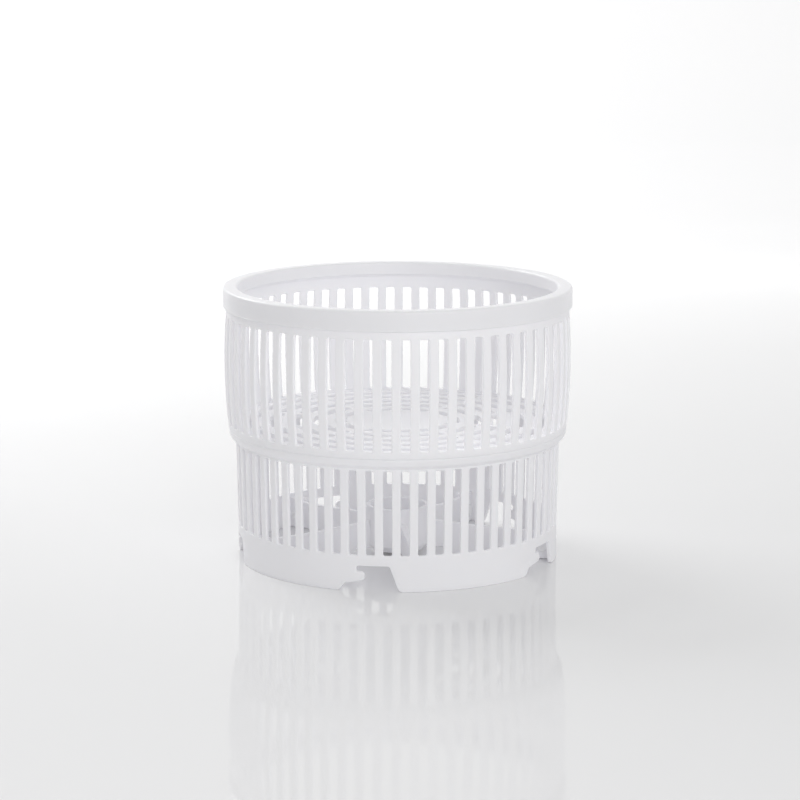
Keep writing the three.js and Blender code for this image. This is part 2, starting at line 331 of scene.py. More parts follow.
def profile_band(shell, columns, profile):
    """A stretch of the section, in (radius, height) pairs, carried across a sector."""
    angle, radius = np.meshgrid(columns, profile[:, 0], indexing="ij")
    height = np.meshgrid(columns, profile[:, 1], indexing="ij")[1]
    shell.weave(shell.add(on_wall(angle, height, radius)))


def turned(shell, profile, segments):
    """A closed section in (radius, height) pairs, turned all the way round."""
    profile = np.concatenate([profile, profile[:1]])
    profile_band(shell, np.linspace(0, 2 * math.pi, segments + 1), profile)


print("slots round the basket:", SLOTS)

# %% [markdown]
# ## Materials
#
# The basket is natural white polypropylene. It isn't paint: light goes a little way in and comes
# out again, so thin slats glow where they are lit from behind. The surface is satin, with the
# faint ripple that a mould leaves, finer grain, and the soft scuffs of washing up. Three shader
# groups hold those effects, and each material places them with its own strengths.

# %% Shader group helpers
def new_group(name, inputs, outputs):
    """A shader group with named sockets: inputs are (name, type, value), outputs (name, type)."""
    group = bpy.data.node_groups.new(name, "ShaderNodeTree")
    for label, kind, value in inputs:
        socket = group.interface.new_socket(name=label, in_out="INPUT", socket_type=kind)
        socket.default_value = value
    for label, kind in outputs:
        group.interface.new_socket(name=label, in_out="OUTPUT", socket_type=kind)
    return group


FLOAT, COLOUR = "NodeSocketFloat", "NodeSocketColor"


def noise(nodes, links, where, scale, detail, roughness=0.5, stretch=None):
    """A noise texture in the piece's own space; stretch squeezes it along some axes."""
    texture = nodes.new("ShaderNodeTexNoise")
    texture.inputs["Detail"].default_value = detail
    texture.inputs["Roughness"].default_value = roughness
    if hasattr(scale, "is_output"):
        links.new(scale, texture.inputs["Scale"])
    else:
        texture.inputs["Scale"].default_value = scale
    if stretch:
        mapping = nodes.new("ShaderNodeMapping")
        mapping.inputs["Scale"].default_value = stretch
        links.new(where, mapping.inputs["Vector"])
        where = mapping.outputs["Vector"]
    links.new(where, texture.inputs["Vector"])
    return texture.outputs["Fac"]


def maths(nodes, links, operation, one, other):
    """A Math node whose two inputs are sockets or numbers."""
    node = nodes.new("ShaderNodeMath")
    node.operation = operation
    for socket, value in zip(node.inputs, (one, other)):
        if hasattr(value, "is_output"):
            links.new(value, socket)
        else:
            socket.default_value = value
    return node.outputs[0]


def spread(nodes, links, value, low, high):
    """A 0 to 1 mask from a value: 0 at low, 1 at high, smooth between."""
    node = nodes.new("ShaderNodeMapRange")
    node.interpolation_type = "SMOOTHSTEP"
    node.inputs["From Min"].default_value = low
    node.inputs["From Max"].default_value = high
    links.new(value, node.inputs["Value"])
    return node.outputs["Result"]


def blended(nodes, links, share, one, other):
    """Two colours mixed by a share."""
    node = nodes.new("ShaderNodeMix")
    node.data_type = "RGBA"
    for socket, value in ((node.inputs[0], share), (node.inputs[6], one), (node.inputs[7], other)):
        if hasattr(value, "is_output"):
            links.new(value, socket)
        else:
            socket.default_value = value
    return node.outputs[2]


print("group helpers ready")

# %% Group: the mould's grain and ripple
def make_mould_grain():
    group = new_group(
        "mould_grain",
        [("Grain", FLOAT, 0.3), ("Ripple", FLOAT, 0.5), ("Grain Scale", FLOAT, 900)],
        [("Height", FLOAT)],
    )
    nodes, links = group.nodes, group.links
    given, result = nodes.new("NodeGroupInput"), nodes.new("NodeGroupOutput")
    where = nodes.new("ShaderNodeTexCoord").outputs["Object"]
    grain = noise(nodes, links, where, given.outputs["Grain Scale"], 3)
    ripple = noise(nodes, links, where, 55, 1)
    flow = noise(nodes, links, where, 160, 2, stretch=(1, 1, 0.2))
    grain = maths(nodes, links, "MULTIPLY", grain, given.outputs["Grain"])
    waves = maths(nodes, links, "ADD", ripple, maths(nodes, links, "MULTIPLY", flow, 0.35))
    waves = maths(nodes, links, "MULTIPLY", waves, given.outputs["Ripple"])
    links.new(maths(nodes, links, "ADD", grain, waves), result.inputs["Height"])
    return group


# %% Group: tint that varies from place to place
def make_tint():
    group = new_group(
        "tint",
        [("Base", COLOUR, (0.85, 0.86, 0.87, 1)), ("Deep", COLOUR, (0.8, 0.8, 0.78, 1)),
         ("Mottle", FLOAT, 0.5), ("Dust And Shade", FLOAT, 0.4)],
        [("Colour", COLOUR)],
    )
    nodes, links = group.nodes, group.links
    given, result = nodes.new("NodeGroupInput"), nodes.new("NodeGroupOutput")
    where = nodes.new("ShaderNodeTexCoord").outputs["Object"]
    cloud = spread(nodes, links, noise(nodes, links, where, 24, 3), 0.35, 0.75)
    mottle = maths(nodes, links, "MULTIPLY", cloud, given.outputs["Mottle"])
    colour = blended(nodes, links, mottle, given.outputs["Base"], given.outputs["Deep"])
    # dust and painted shade: hollows, where pointiness is low, are darkened towards Deep, speckled by noise
    bend = nodes.new("ShaderNodeNewGeometry").outputs["Pointiness"]
    hollow = maths(nodes, links, "SUBTRACT", 1, spread(nodes, links, bend, 0.42, 0.5))
    speck = spread(nodes, links, noise(nodes, links, where, 420, 4, 0.7), 0.5, 0.7)
    settled_dust_and_shade = maths(nodes, links, "MULTIPLY", hollow, maths(nodes, links, "ADD", 0.5, speck))
    dust_and_shade = maths(nodes, links, "MULTIPLY", settled_dust_and_shade, given.outputs["Dust And Shade"])
    links.new(blended(nodes, links, dust_and_shade, colour, given.outputs["Deep"]), result.inputs["Colour"])
    return group


# %% Group: the marks of use
def make_handling():
    group = new_group(
        "handling",
        [("Roughness", FLOAT, 0.4), ("Scuffs", FLOAT, 0.1), ("Polish", FLOAT, 0.1)],
        [("Roughness", FLOAT), ("Scratches", FLOAT)],
    )
    nodes, links = group.nodes, group.links
    given, result = nodes.new("NodeGroupInput"), nodes.new("NodeGroupOutput")
    geometry = nodes.new("ShaderNodeNewGeometry")
    where = nodes.new("ShaderNodeTexCoord").outputs["Object"]
    patches = noise(nodes, links, where, 38, 4, 0.6)
    lines = spread(nodes, links, noise(nodes, links, where, 260, 2, stretch=(1, 1, 9)), 0.62, 0.72)
    crossed = spread(nodes, links, noise(nodes, links, where, 240, 2, stretch=(7, 0.6, 1)), 0.64, 0.74)
    scratches = maths(nodes, links, "MAXIMUM", lines, crossed)
    scratches = maths(nodes, links, "MULTIPLY", scratches, spread(nodes, links, patches, 0.45, 0.65))
    worn = spread(nodes, links, geometry.outputs["Pointiness"], 0.5, 0.58)
    rough = maths(nodes, links, "ADD", given.outputs["Roughness"],
                  maths(nodes, links, "MULTIPLY", maths(nodes, links, "SUBTRACT", patches, 0.5),
                        given.outputs["Scuffs"]))
    rough = maths(nodes, links, "ADD", rough,
                  maths(nodes, links, "MULTIPLY", scratches, given.outputs["Scuffs"]))
    rough = maths(nodes, links, "SUBTRACT", rough,
                  maths(nodes, links, "MULTIPLY", worn, given.outputs["Polish"]))
    links.new(rough, result.inputs["Roughness"])
    links.new(scratches, result.inputs["Scratches"])
    return group


GRAIN, TINT, HANDLING = make_mould_grain(), make_tint(), make_handling()
print("groups:", [g.name for g in (GRAIN, TINT, HANDLING)])

# %% [markdown]
# The finishes share one recipe and differ in their numbers. The rim is moulded in a polished
# tool and is the glossiest. The cages are satin. The bush and washer are unpigmented acetal, a
# warmer white, and the circlip is spring steel. Values that are the same all over a piece, such
# as how deep light goes in, are set on the shader itself. The white plastics also get a painted
# glow: a faint even emission that brightens them everywhere, standing for light carried in thin walls.

# %% The materials
def place_group(tree, group, values):
    node = tree.nodes.new("ShaderNodeGroup")
    node.node_tree = group
    for name, value in values.items():
        node.inputs[name].default_value = value
    return node


def finish(name, base, deep, roughness, glow=0.0, metallic=0.0, mottle=0.5, dust_and_shade=0.4,
           scuffs=0.12, polish=0.08, grain=0.25, ripple=0.6, bump=0.25, painted_glow=(0, 0, 0)):
    material = bpy.data.materials.new(name)
    material.use_nodes = True
    tree = material.node_tree
    shader = tree.nodes["Principled BSDF"]
    tint = place_group(tree, TINT, {"Base": (*base, 1), "Deep": (*deep, 1), "Mottle": mottle, "Dust And Shade": dust_and_shade})
    marks = place_group(tree, HANDLING, {"Roughness": roughness, "Scuffs": scuffs, "Polish": polish})
    mould = place_group(tree, GRAIN, {"Grain": grain, "Ripple": ripple, "Grain Scale": 900})
    surface = tree.nodes.new("ShaderNodeBump")
    surface.inputs["Strength"].default_value = bump
    surface.inputs["Distance"].default_value = 0.0004
    lowered = maths(tree.nodes, tree.links, "MULTIPLY", marks.outputs["Scratches"], 0.15)
    height = maths(tree.nodes, tree.links, "SUBTRACT", mould.outputs["Height"], lowered)
    tree.links.new(height, surface.inputs["Height"])
    tree.links.new(tint.outputs["Colour"], shader.inputs["Base Color"])
    tree.links.new(marks.outputs["Roughness"], shader.inputs["Roughness"])
    tree.links.new(surface.outputs["Normal"], shader.inputs["Normal"])
    shader.inputs["Metallic"].default_value = metallic
    shader.inputs["IOR"].default_value = 1.49
    shader.inputs["Subsurface Weight"].default_value = glow
    shader.inputs["Subsurface Radius"].default_value = (1.0, 0.95, 0.9)
    shader.inputs["Subsurface Scale"].default_value = 0.004
    # painted glow: an even emission that brightens the plastic everywhere, though it is no lamp
    shader.inputs["Emission Color"].default_value = (*painted_glow, 1)
    shader.inputs["Emission Strength"].default_value = 1.0
    return material


# painted glow of the white plastics, standing for light carried inside thin walls
PAINTED_GLOW = (0.085, 0.084, 0.09)
cage_white = finish("cage_white_pp", (0.86, 0.858, 0.875), (0.84, 0.838, 0.85), 0.42, glow=0.3,
                    painted_glow=PAINTED_GLOW)
rim_white = finish("rim_white_pp", (0.83, 0.828, 0.843), (0.81, 0.808, 0.82), 0.34, glow=0.3, grain=0.15,
                   painted_glow=PAINTED_GLOW)
pin_white = finish("pin_white_pp", (0.86, 0.86, 0.865), (0.82, 0.82, 0.825), 0.36, glow=0.3,
                   painted_glow=(0.08, 0.08, 0.08))
acetal = finish("acetal_natural", (0.83, 0.82, 0.76), (0.76, 0.74, 0.66), 0.46, glow=0.2, scuffs=0.2)
spring_steel = finish("spring_steel", (0.5, 0.51, 0.53), (0.4, 0.4, 0.42), 0.3, metallic=1.0,
                      mottle=0.7, dust_and_shade=0.3, scuffs=0.25, grain=0.5, ripple=0.1)
print("materials:", [m.name for m in (cage_white, rim_white, pin_white, acetal, spring_steel)])


# %% Dressing a piece
def dress(piece, material, slot, body, *nodes):
    """Gives a piece its finish, the body it rides on, and hides the nodes it stands for; slot is not used.
    """
    piece.data.materials.append(material)
    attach(piece, body)
    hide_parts(*nodes)
    return piece


# %% [markdown]
# ## The rim
#
# The rim is a separate ring with an upside-down U for a section. It snaps over the barrel's top
# and gives the hand a smooth edge. A ring of revolution is turned from its section: the corners
# of the section get their radii first, a larger one where fingers go.

# %% Rim ring
def mm_box(node):
    low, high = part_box(node)
    return low * 1000, high * 1000


rim_low, rim_high = mm_box("rim_ring")
RIM_RADIUS = (rim_high.x - rim_low.x) / 2 - 0.01
TOP = rim_high.z
RIM_WIDTH = 9.2
RIM_SKIRT = 2.0
RIM_PLATE = 2.5
RIM_OUTSIDE = TOP - rim_low.z
RIM_INSIDE = 8.2
ROUND_SEGMENTS = 360

rim_section = rounded(
    [(RIM_RADIUS, TOP - RIM_OUTSIDE), (RIM_RADIUS, TOP), (RIM_RADIUS - RIM_WIDTH, TOP),
     (RIM_RADIUS - RIM_WIDTH, TOP - RIM_INSIDE), (RIM_RADIUS - RIM_WIDTH + RIM_SKIRT, TOP - RIM_INSIDE),
     (RIM_RADIUS - RIM_WIDTH + RIM_SKIRT, TOP - RIM_PLATE), (RIM_RADIUS - RIM_SKIRT, TOP - RIM_PLATE),
     (RIM_RADIUS - RIM_SKIRT, TOP - RIM_OUTSIDE)],
    [0.6, 1.7, 1.7, 0.6, 0.6, 0.5, 0.5, 0.6], steps=5, closed=True)
rim_shell = Shell()
turned(rim_shell, rim_section, ROUND_SEGMENTS)
dress(to_object(rim_shell, "rim"), rim_white, "rim_plastic", "basket", "rim_ring")

# %% [markdown]
# ## The barrel
#
# Sixty slots in a wall that bellies out a little, so that it is stiff although it is mostly
# holes. Above the slots the wall thickens into a bead that the rim snaps over. One sector is
# drawn, closed at its foot and at its bead, and turned sixty times.

# %% Barrel
WALL = 2.4
SHOULDER = 83.0
BEAD_BOTTOM = TOP - RIM_OUTSIDE + RIM_PLATE
BARREL_LOW = 106.8
BARREL_HIGH = 107.5
BULGE = 2.0
BARREL_SLOT = (5.8, SHOULDER + 4.4, TOP - RIM_OUTSIDE - 5.0)
SLOT_CORNER = 1.0
SLOT_EDGE = 0.55
BARREL_ROWS = 14
BEAD_INSIDE = 103.0


def barrel_outside(height):
    t = np.clip((height - SHOULDER) / (BEAD_BOTTOM - SHOULDER), 0, 1)
    return BARREL_LOW + (BARREL_HIGH - BARREL_LOW) * t + BULGE * 4 * t * (1 - t)


def barrel_inside(height):
    return barrel_outside(height) - WALL


barrel_sector = Shell()
low_row, high_row = BARREL_SLOT[1] - 1.6, BARREL_SLOT[2] + 1.6
barrel_columns = slotted_sector(
    barrel_sector, barrel_outside, barrel_inside, BARREL_SLOT,
    [SHOULDER + 1.2, low_row], [high_row, BEAD_BOTTOM - 1.5], BARREL_ROWS, SLOT_EDGE, SLOT_CORNER)
foot_line = rounded(
    [(barrel_inside(SHOULDER + 1.2), SHOULDER + 1.2), (barrel_inside(SHOULDER), SHOULDER),
     (barrel_outside(SHOULDER), SHOULDER), (barrel_outside(SHOULDER + 1.2), SHOULDER + 1.2)],
    [0, 0.3, 0.35, 0], steps=3)
bead_top = TOP - RIM_PLATE - 0.3
bead_line = rounded(
    [(barrel_outside(BEAD_BOTTOM - 1.5), BEAD_BOTTOM - 1.5), (BARREL_HIGH, BEAD_BOTTOM),
     (BARREL_HIGH, bead_top), (BEAD_INSIDE, bead_top), (BEAD_INSIDE, BEAD_BOTTOM + WALL),
     (BARREL_HIGH - WALL, BEAD_BOTTOM), (barrel_inside(BEAD_BOTTOM - 1.5), BEAD_BOTTOM - 1.5)],
    [0, 0, 0.5, 0.5, 0.8, 0.8, 0], steps=3)
profile_band(barrel_sector, barrel_columns, foot_line)
profile_band(barrel_sector, barrel_columns, bead_line)
barrel_shell = Shell()
barrel_shell.repeat(barrel_sector, SLOTS, SLOT_PHASE)
dress(to_object(barrel_shell, "barrel"), cage_white, "cage_plastic", "basket", "upper_cage")

# %% [markdown]
# ## Flat plates with rounded edges
#
# Arms, lugs and the circlip are plates. Each is an outline, perhaps with holes, filled with
# triangles that keep to the outline (a constrained Delaunay triangulation), then given a rounded
# edge and a thickness. The same filling makes the foot band, bent round the pedestal.

# %% Filling an outline
def inside(points, outline):
    """Which points lie inside a closed outline."""
    x, y = points[:, 0], points[:, 1]
    found = np.zeros(len(points), bool)
    for (x0, y0), (x1, y1) in zip(outline, np.roll(outline, -1, 0)):
        if y0 != y1:
            crosses = (y0 > y) != (y1 > y)
            found ^= crosses & (x < (x1 - x0) * (y - y0) / (y1 - y0) + x0)
    return found


def scattered(outline, holes, spacing):
    """Points in even rows inside an outline, kept off its border and its holes."""
    low, high = outline.min(0), outline.max(0)
    xs = np.arange(low[0] + spacing / 2, high[0], spacing)
    ys = np.arange(low[1] + spacing / 2, high[1], spacing)
    points = np.array([(x + (k % 2) * spacing / 2, y) for k, y in enumerate(ys) for x in xs])
    if not len(points):
        return np.zeros((0, 2))
    keep = inside(points, outline)
    for hole in holes:
        keep &= ~inside(points, hole)
    for line in (outline, *holes):
        dense = filled(line, spacing / 3, closed=True)
        for k in np.nonzero(keep)[0]:
            keep[k] = ((dense - points[k]) ** 2).sum(1).min() > (0.6 * spacing) ** 2
    return points[keep]


def fill_outline(outline, holes, spacing):
    """All points, outline first, and the triangles that fill it."""
    loops = [outline, *holes]
    edges, start = [], 0
    for loop in loops:
        count = len(loop)
        edges += [(start + k, start + (k + 1) % count) for k in range(count)]
        start += count
    points = np.concatenate([*loops, scattered(outline, holes, spacing)])
    found = delaunay_2d_cdt([Vector(p) for p in points], edges, [], 0, 1e-7)
    new_points = np.array([tuple(v) for v in found[0]])
    triangles = np.array([tuple(f) for f in found[2]])
    middles = new_points[triangles].mean(1)
    keep = inside(middles, outline)
    for hole in holes:
        keep &= ~inside(middles, hole)
    if len(new_points) != len(points):
        raise ValueError("an outline crosses itself")
    order = [source[0] for source in found[3]]
    return points, [[order[n] for n in t] for t in triangles[keep]]


def plate(shell, outline, holes, thickness, edge, place, spacing=3.0):
    """A flat plate. Its outline runs anticlockwise and its holes clockwise; place says where it lies."""
    rims = [outline, *holes]
    inset = [offset(line, edge, closed=True) for line in rims]
    points, triangles = fill_outline(inset[0], inset[1:], spacing)
    rings = []
    for side in (1, -1):
        numbers = shell.add(place(points[:, 0], points[:, 1], np.full(len(points), side * thickness / 2)))
        shell.faces.extend([[numbers[n] for n in t] for t in triangles])
        start, side_rings = 0, []
        for line in rims:
            loop = [numbers[start:start + len(line)]]
            start += len(line)
            for grow, depth in quarter(edge, EDGE_STEPS)[1:]:
                moved = offset(line, grow, closed=True)
                level = np.full(len(moved), side * (thickness / 2 - depth))
                loop.append(shell.add(place(moved[:, 0], moved[:, 1], level)))
            side_rings.append(loop)
        rings.append(side_rings)
    for over, under in zip(*rings):
        path = over + under[::-1]
        for one, other in zip(path, path[1:]):
            shell.strip(one, other)


def ring_line(x, y, radius, count, clockwise=False):
    turn = np.linspace(0, 2 * math.pi, count, endpoint=False) * (-1 if clockwise else 1)
    return np.stack([x + radius * np.cos(turn), y + radius * np.sin(turn)], 1)


print("plates ready")

# %% [markdown]
# ## The pedestal
#
# The lower cage carries everything. Its slots stand above a plain foot band, and its top flares
# into a shoulder with a spigot that the barrel drops over. The foot band has five hooked notches
# that bayonet onto lugs in the bowl. A notch is far wider than a slot, so the band is made a
# fifth of the way round at a time: an outline with the notch in it, filled, and bent to the wall.

# %% Pedestal wall and shoulder
FOOT_RADIUS = 101.4
BAND_TOP = 22.4
PEDESTAL_TOP = 75.8
DRAFT = 1.0
PEDESTAL_SLOT = (5.4, BAND_TOP, PEDESTAL_TOP - 1.0)
BAND_ROW = BAND_TOP - 2.0  # the row where the slotted sectors meet the foot band
SPIGOT_OUTSIDE = BARREL_LOW - WALL - 0.3
SPIGOT_TOP = SHOULDER - 0.3 + 4.2
LEDGE_TOP = SHOULDER - 0.3
LEDGE_INSIDE = SPIGOT_OUTSIDE - WALL - 0.3 - 2.9


def pedestal_outside(height):
    t = np.clip((height - BAND_TOP) / (PEDESTAL_TOP - BAND_TOP), 0, 1)
    return FOOT_RADIUS + DRAFT * t


def pedestal_inside(height):
    return pedestal_outside(height) - WALL


wall_sector = Shell()
high_row = PEDESTAL_SLOT[2] + 0.85
wall_columns = slotted_sector(
    wall_sector, pedestal_outside, pedestal_inside, PEDESTAL_SLOT,
    [BAND_ROW, BAND_TOP - 0.9], [high_row], 12, SLOT_EDGE, SLOT_CORNER)
shoulder_line = rounded(
    [(pedestal_outside(high_row), high_row), (FOOT_RADIUS + DRAFT, PEDESTAL_TOP + 0.4),
     (FOOT_RADIUS + DRAFT + 3.4, PEDESTAL_TOP + 2.7), (BARREL_LOW, PEDESTAL_TOP + 5.6),
     (BARREL_LOW, SHOULDER - 0.06),
     (SPIGOT_OUTSIDE, SHOULDER - 0.06), (SPIGOT_OUTSIDE, SPIGOT_TOP), (SPIGOT_OUTSIDE - WALL, SPIGOT_TOP),
     (SPIGOT_OUTSIDE - WALL, LEDGE_TOP), (LEDGE_INSIDE, LEDGE_TOP), (LEDGE_INSIDE, LEDGE_TOP - 2.5),
     (pedestal_inside(high_row), LEDGE_TOP - 3.5), (pedestal_inside(high_row), high_row)],
    [0, 0.8, 1.6, 3.0, 0.35, 0.3, 0.5, 0.5, 0.4, 0.6, 0.6, 0.6, 0], steps=4)
profile_band(wall_sector, wall_columns, shoulder_line)
print("rows of the pedestal's section:", len(shoulder_line))

# %% Foot band with its notch
NOTCHES = 5
NOTCH_PHASE = -8.5  # degrees: the front notch
SLOTS_PER_NOTCH = SLOTS // NOTCHES
BAND_START = SLOT_PHASE - 3 - 7 * 6  # the slat's middle where one fifth of the band begins
BAND_EDGE = 0.5
notch_corners = [
    (-21.5, 0), (-17.8, 4.8), (-5.1, 7.2), (-5.1, 12.4), (-10.3, 12.4), (-10.3, 16), (10.1, 16), (15.9, 0)]
notch_radii = [3.0, 2.5, 2.55, 2.55, 0.9, 1.4, 1.6, 3.4]


def band_angle(x):
    """The angle in radians of a place on the band's flat drawing, whose middle is the notch."""
    return math.radians(NOTCH_PHASE) + np.arcsin(np.clip(x / FOOT_RADIUS, -0.999, 0.999))


def band_x(angle):
    return FOOT_RADIUS * np.sin(angle - math.radians(NOTCH_PHASE))


def band_period():
    """One fifth of the foot band: two skins filled, and the rounded edge along foot and notch."""
    shell = Shell()
    start, stop = math.radians(BAND_START), math.radians(BAND_START + 360 / NOTCHES)
    x0, x1 = band_x(start), band_x(stop)
    foot = rounded([(x0, 0), *notch_corners, (x1, 0)], [0, *notch_radii, 0], steps=7)
    foot = filled(foot, 2.2)
    inset = offset(foot, BAND_EDGE)
    upper = np.concatenate([
        math.radians(SLOT_PHASE + 6 * (k - 7)) + wall_columns[:-1] for k in range(SLOTS_PER_NOTCH)])
    upper = np.append(upper, stop)
    upper_line = np.stack([band_x(upper), np.full(len(upper), BAND_ROW)], 1)
    climb = np.linspace(BAND_EDGE, BAND_ROW, 8)[1:-1]
    right = np.stack([np.full(len(climb), x1), climb], 1)
    left = np.stack([np.full(len(climb), x0), climb[::-1]], 1)
    outline = np.concatenate([inset, right, upper_line[::-1], left])
    points, triangles = fill_outline(outline, [], 2.4)
    loops = []
    for skin, sign in ((FOOT_RADIUS, -1), (FOOT_RADIUS - WALL, 1)):
        numbers = shell.add(on_wall(band_angle(points[:, 0]), points[:, 1], np.full(len(points), skin)))
        shell.faces.extend([[numbers[n] for n in t] for t in triangles])
        side_loops = [numbers[:len(inset)]]
        for grow, depth in quarter(BAND_EDGE, EDGE_STEPS)[1:]:
            line = offset(foot, grow)
            radius = np.full(len(line), skin + sign * depth)
            side_loops.append(shell.add(on_wall(band_angle(line[:, 0]), line[:, 1], radius)))
        loops.append(side_loops)
    path = loops[0] + loops[1][::-1]
    for one, other in zip(path, path[1:]):
        shell.strip(one, other, closed=False)
    return shell


band = band_period()
print("corners in a fifth of the foot band:", band.count)

# %% Lugs for the arms
ARMS = 5
ARM_PHASE = 8.0
ARM_THICK = 3.0
LUG_THICK = 2.2
LUG_FACE = ARM_THICK / 2 + 0.3 + LUG_THICK
LUG_BOTTOM, LUG_TOP = 0.8, 20.0
LUG_REACH = 11.0
PIN_PLACE, PIN_HEIGHT = FOOT_RADIUS - WALL - 5.5, 8.8
PIN_RADIUS = 1.6


def beside(middle):
    """Puts a plate that is drawn in (radius, height) on edge, its middle beside the front line."""
    return lambda x, y, level: np.stack([middle + level, -x, y], -1)


def lug_pair():
    shell = Shell()
    inner, outer = FOOT_RADIUS - WALL - LUG_REACH, FOOT_RADIUS - WALL + 0.4
    outline = rounded(
        [(inner, LUG_BOTTOM), (outer, LUG_BOTTOM), (outer, LUG_TOP), (inner, LUG_TOP)],
        [2.5, 0.8, 0.8, 3.5], steps=5, closed=True)
    hole = ring_line(PIN_PLACE, PIN_HEIGHT, PIN_RADIUS + 0.3, 20, clockwise=True)
    for side in (-1, 1):
        plate(shell, outline, [hole], LUG_THICK, 0.4, beside(side * (LUG_FACE - LUG_THICK / 2)))
    return shell


pedestal_shell = Shell()
pedestal_shell.repeat(wall_sector, SLOTS, SLOT_PHASE)
pedestal_shell.repeat(band, NOTCHES, 0)
pedestal_shell.repeat(lug_pair(), ARMS, ARM_PHASE)
dress(to_object(pedestal_shell, "pedestal"), cage_white, "cage_plastic", "basket", "lower_cage")

# %% [markdown]
# ## The floor
#
# The leaves lie on a disc with five rings of slots. Ten ribs hold the rings together, each four
# millimetres wide from the hub to the edge, so the slots' ends run parallel to the ribs. The
# grid of rows and columns is the barrel's, laid flat: across is outward, along is round.

# %% Floor grating
FLOOR_TOP, FLOOR_BOTTOM = 86.2, 83.0
FLOOR_RADIUS = SPIGOT_OUTSIDE - WALL - 0.3
FLOOR_RINGS, RING_PITCH, RING_SLOT, FIRST_RING = 5, 14.0, 7.0, 36.0
RIBS, RIB_WIDTH = 10, 4.0
HALF_SECTOR = math.pi / RIBS
RING_ROWS = 12
RING_CORNER, RING_EDGE = 1.5, 0.5
NEAR_RIB = 5.0  # within this of a rib, places are measured from the rib
HUB_RADIUS = 24.0  # inside it there are no ribs, and the columns run straight to the middle


def ring_angle(share, from_rib, radius):
    """The angle of a place: a share of the half slot away from the middle, or near a rib."""
    turn = HALF_SECTOR - np.arcsin(np.clip(NEAR_RIB / radius, 0, 0.9))
    near = HALF_SECTOR - np.arcsin(np.clip(from_rib / radius, 0, 0.9))
    return np.where(np.abs(share) < 1, share * turn, np.sign(share) * near)


def ring_place(along_mm, half_length, radius):
    """The angle of a place that is so far along a slot whose half length is given."""
    from_rib = half_length + RIB_WIDTH / 2 - np.abs(along_mm)
    limit = half_length + RIB_WIDTH / 2 - NEAR_RIB
    share = np.where(np.abs(along_mm) < limit, along_mm / limit, np.sign(along_mm) * 1.01)
    return ring_angle(share, np.maximum(from_rib, 0), radius)


def floor_sector():
    shell = Shell()
    half_lengths = [
        (FIRST_RING + RING_PITCH * k) * (HALF_SECTOR - RIB_WIDTH / 2 / (FIRST_RING + RING_PITCH * k))
        for k in range(FLOOR_RINGS)]
    radii, lengths, starts = [0, 8, 16, HUB_RADIUS], [half_lengths[0]] * 4, []
    for k, half_length in enumerate(half_lengths):
        middle = FIRST_RING + RING_PITCH * k
        across = slot_end(RING_SLOT / 2 + RING_EDGE, RING_CORNER + RING_EDGE)[:, 0]
        radii.append(middle - RING_PITCH / 2)
        lengths.append(half_length)
        starts.append(len(radii))
        radii.extend(middle + across)
        lengths.extend([half_length] * len(across))
    edge_place = FLOOR_RADIUS - 0.6
    radii.append(edge_place)
    lengths.append(half_lengths[-1])
    radius = np.repeat(np.array(radii)[:, None], RING_ROWS + 3, 1)
    along = np.zeros_like(radius)
    for i, half_length in enumerate(lengths):
        side = np.linspace(-(half_length - RING_CORNER), half_length - RING_CORNER, RING_ROWS + 1)
        along[i] = [-(half_length + RIB_WIDTH / 2), *side, half_length + RIB_WIDTH / 2]
    length = np.repeat(np.array(lengths)[:, None], RING_ROWS + 3, 1)
    borders = []
    for k, i0 in enumerate(starts):
        border = block_border(i0, 1, RING_ROWS)
        grown = slot_outline(RING_SLOT / 2, half_lengths[k], RING_CORNER, RING_ROWS, RING_EDGE)
        for (i, j), (a, b) in zip(border, grown):
            radius[i, j], along[i, j] = FIRST_RING + RING_PITCH * k + a, b
        borders.append(border)
    angle = ring_place(along, length, np.maximum(radius, HUB_RADIUS))
    blocked = [(i0, i0 + ACROSS, 1, 1 + RING_ROWS) for i0 in starts]
    rings = [[] for _ in starts]
    for level, sign in ((FLOOR_TOP, -1), (FLOOR_BOTTOM, 1)):
        numbers = shell.add(on_wall(angle, np.full_like(radius, level), radius))
        for i in range(numbers.shape[0] - 1):
            for j in range(numbers.shape[1] - 1):
                if not any(b[0] <= i < b[1] and b[2] <= j < b[3] for b in blocked):
                    shell.faces.append(
                        [numbers[i, j], numbers[i + 1, j], numbers[i + 1, j + 1], numbers[i, j + 1]])
        for k, border in enumerate(borders):
            loop = [np.array([numbers[i, j] for i, j in border])]
            for grow, depth in quarter(RING_EDGE, EDGE_STEPS)[1:]:
                line = slot_outline(RING_SLOT / 2, half_lengths[k], RING_CORNER, RING_ROWS, grow)
                away = FIRST_RING + RING_PITCH * k + line[:, 0]
                turn = ring_place(line[:, 1], half_lengths[k], away)
                loop.append(shell.add(on_wall(turn, np.full(len(away), level + sign * depth), away)))
            rings[k].append(loop)
    for over, under in rings:
        path = over + under[::-1]
        for one, other in zip(path, path[1:]):
            shell.strip(one, other)
    border_line = rounded(
        [(edge_place, FLOOR_TOP), (FLOOR_RADIUS, FLOOR_TOP), (FLOOR_RADIUS, FLOOR_BOTTOM),
         (edge_place, FLOOR_BOTTOM)], [0, 0.5, 0.5, 0], steps=3)
    turns = ring_place(along[-1], length[-1], np.full(RING_ROWS + 3, edge_place))
    profile_band(shell, turns, border_line)
    return shell


floor_shell = Shell()
floor_shell.repeat(floor_sector(), RIBS, 180 / RIBS)
dress(to_object(floor_shell, "floor_grating_disc"), cage_white, "cage_plastic", "basket", "floor_grating")

# %% [markdown]
# ## The pivot spider
#
# Five flat arms tie the pivot cup to the foot band. They are pinned between the lugs, so the
# moulding can be changed when it wears. The cup is turned and the arms are plates; a boolean
# union makes one closed body of them, as the real moulding is.

